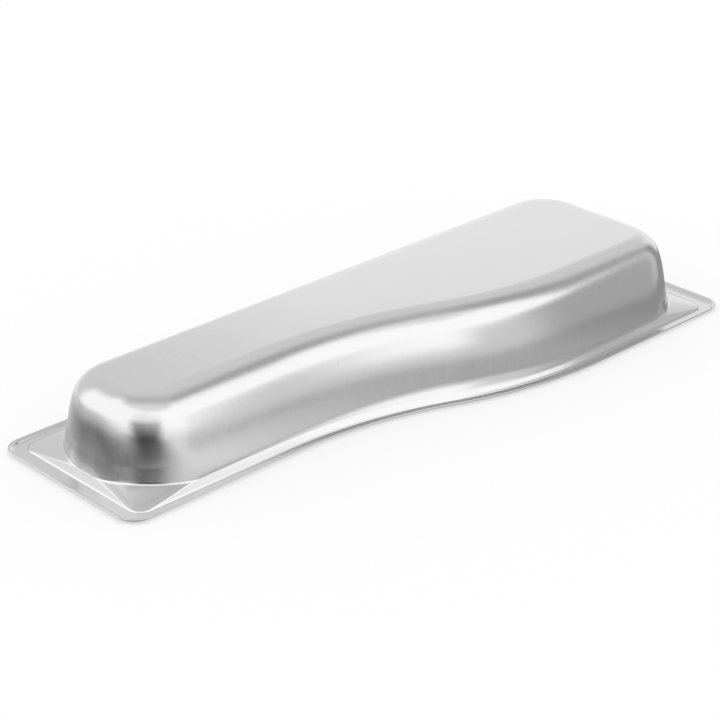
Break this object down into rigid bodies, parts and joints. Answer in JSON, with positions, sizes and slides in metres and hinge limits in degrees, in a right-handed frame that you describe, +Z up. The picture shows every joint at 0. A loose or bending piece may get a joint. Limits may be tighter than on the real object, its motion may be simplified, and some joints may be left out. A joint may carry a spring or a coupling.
{
  "type": "s-sided counter food pan",
  "caption": "Drawn steel food pan lying upside down on its flange: flat base, leaning walls, and one S-shaped long side so that two pans turned end for end fill one oblong opening.",
  "frame": {"origin": "on the resting plane, at the middle of the rim's length and width, with the pan upside down on its flange", "axes": "+Z up, out of the flat base; +X along the pan from the narrow end to the wide end; +Y towards the straight long side, so the S-shaped side is at -Y. For use the pan is turned over, so that -Z points up"},
  "size_m": [0.527, 0.1864, 0.059],
  "materials": {
    "satin_stainless": "satin polished stainless steel sheet, bright on the drawn radii"
  },
  "bodies": {
    "root": {"pan": "satin_stainless"}
  },
  "joints": []
}
